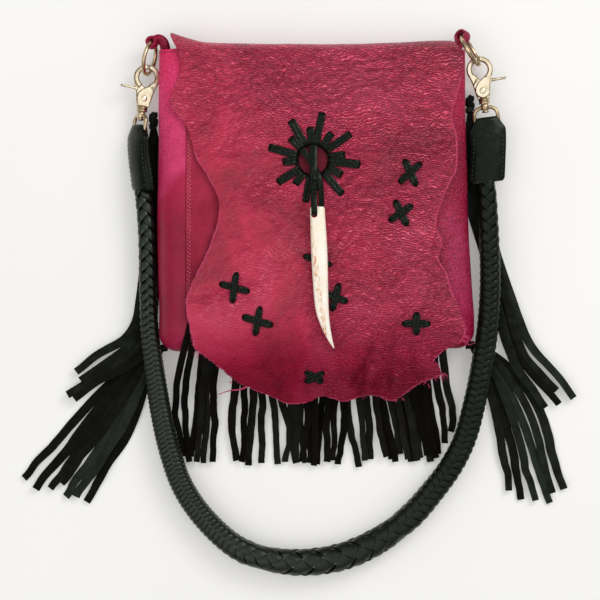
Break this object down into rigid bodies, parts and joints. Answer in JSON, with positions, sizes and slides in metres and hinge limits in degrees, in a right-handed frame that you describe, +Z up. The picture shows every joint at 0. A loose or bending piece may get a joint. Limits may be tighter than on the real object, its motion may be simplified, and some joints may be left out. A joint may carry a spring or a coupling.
{
  "type": "fringe crossbody bag",
  "caption": "Leather crossbody bag lying on its back: raw-edged flap with a laced hole and bone toggle, suede fringe and tassels, braided strap on trigger snaps.",
  "frame": {"origin": "middle of the underside of the back panel, on the surface that the bag lies on", "axes": "+Z up, out of the flap's face; +Y from the bag's bottom to its mouth; +X to the right in the picture"},
  "size_m": [0.4439, 0.4323, 0.062],
  "materials": {
    "hide": "pebbled wine-red hide",
    "gusset_leather": "smooth raspberry leather",
    "black_leather": "satin black leather lace, braid and sleeves",
    "suede": "matte black suede",
    "bone": "polished bone with brown flecks",
    "brass": "pale antique brass"
  },
  "bodies": {
    "bag": {"back_panel": "hide", "gusset": "gusset_leather", "front_panel": "hide", "flap": "hide", "hole_lacing": "black_leather", "toggle_lace": "black_leather", "bone_toggle": "bone", "cross_stitch_1": "black_leather", "cross_stitch_2": "black_leather", "cross_stitch_3": "black_leather", "cross_stitch_4": "black_leather", "cross_stitch_5": "black_leather", "cross_stitch_6": "black_leather", "cross_stitch_7": "black_leather", "cross_stitch_8": "black_leather", "front_fringe": "suede", "left_side_tassel": "suede", "right_side_tassel": "suede", "left_corner_tassel": "suede", "right_corner_tassel": "suede", "strap_braid": "black_leather", "left_tab": "gusset_leather", "right_tab": "gusset_leather", "left_ring": "brass", "right_ring": "brass", "left_snap_body": "brass", "right_snap_body": "brass", "left_snap_eye": "brass", "right_snap_eye": "brass", "left_sleeve": "black_leather", "right_sleeve": "black_leather"},
    "left_gate": {"left_snap_gate": "brass"},
    "right_gate": {"right_snap_gate": "brass"}
  },
  "joints": [
    {"name": "left_gate_hinge", "type": "hinge", "parent": "bag", "child": "left_gate", "pos_m": [-0.13461, 0.0751, 0.01194], "axis": [0.2119, 0.0115, 0.9772], "range_deg": [0, 25], "stiffness_Nm_per_rad": 0.02, "springref_deg": -11.46},
    {"name": "right_gate_hinge", "type": "hinge", "parent": "bag", "child": "right_gate", "pos_m": [0.13447, 0.08117, 0.0145], "axis": [0, 0, -1], "range_deg": [0, 25], "stiffness_Nm_per_rad": 0.02, "springref_deg": -11.46}
  ]
}
